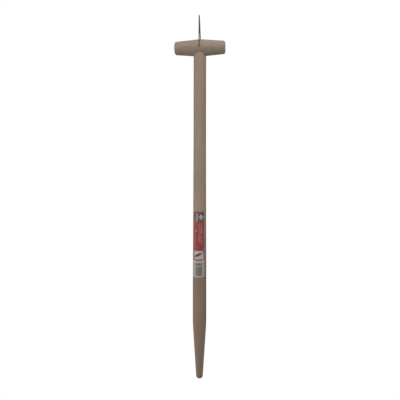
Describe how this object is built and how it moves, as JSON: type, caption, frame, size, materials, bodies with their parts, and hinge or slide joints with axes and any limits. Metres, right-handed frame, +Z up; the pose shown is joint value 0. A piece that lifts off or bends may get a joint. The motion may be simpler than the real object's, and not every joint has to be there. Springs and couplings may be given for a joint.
{
  "type": "garden dibber",
  "caption": "Long T-handled garden dibber: turned wooden shaft with a blunt point, barrel-shaped wedged crossbar, wrapped label and a hanging loop of cord.",
  "frame": {"origin": "the lowest point of the planting point, on the shaft's axis", "axes": "+Z up the shaft from the point to the crossbar, X along the crossbar, -Y the front that carries the label"},
  "size_m": [0.127, 0.0517, 0.9121],
  "materials": {
    "shaft_wood": "fine sanded ash, thin satin lacquer",
    "crossbar_wood": "fine sanded ash, thin satin lacquer, grain along the bar",
    "wedge_wood": "bare darker hardwood",
    "label_film": "printed adhesive film, red and off-white, satin",
    "cord": "twisted synthetic cord, dark grey-green"
  },
  "bodies": {
    "hanging_loop": {"hang_cord": "cord", "cord_knot": "cord"},
    "tool": {"shaft": "shaft_wood", "crossbar": "crossbar_wood", "tenon_wedge": "wedge_wood", "label": "label_film"}
  },
  "joints": [
    {"name": "tool_swing", "type": "hinge", "parent": "hanging_loop", "child": "tool", "pos_m": [0, 0, 0.8293], "axis": [0, 1, 0], "range_deg": [-50, 50]}
  ]
}
